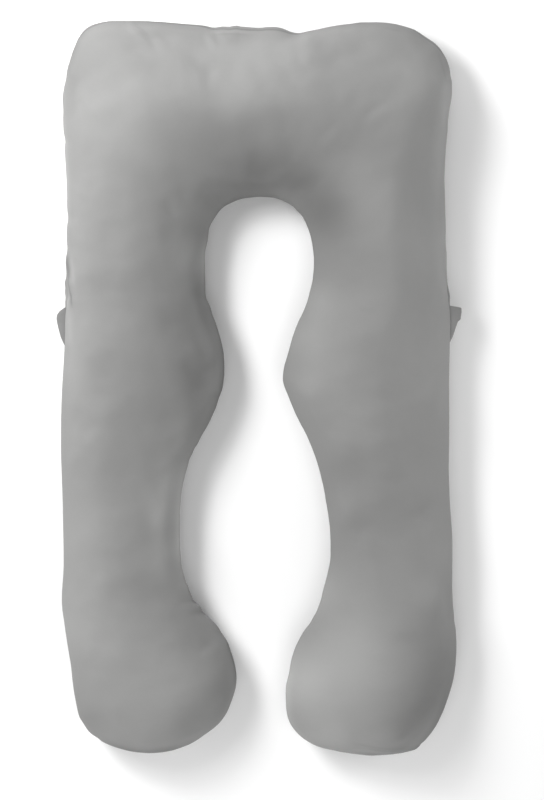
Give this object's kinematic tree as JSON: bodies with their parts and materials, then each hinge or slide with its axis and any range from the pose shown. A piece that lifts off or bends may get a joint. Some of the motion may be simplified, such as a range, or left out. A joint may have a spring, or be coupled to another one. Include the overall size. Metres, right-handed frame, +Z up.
{
  "type": "body pillow",
  "caption": "U-shaped full-length body pillow in plain grey jersey, wrapping both sides of a lying person, with a small folded tape tab in each outer side seam.",
  "frame": {"origin": "on the floor, under the middle of the pillow's box", "axes": "+Y runs from the feet of the U to its head, +X to the right as seen from above, +Z up out of the upper face"},
  "size_m": [0.8011, 1.45, 0.19],
  "materials": {
    "cover_jersey": "smooth matte cotton jersey, plain mid grey",
    "tab_tape": "folded twill tape, a shade darker grey"
  },
  "bodies": {
    "root": {"pillow_body": "cover_jersey", "tab_left": "tab_tape", "tab_right": "tab_tape"}
  },
  "joints": []
}
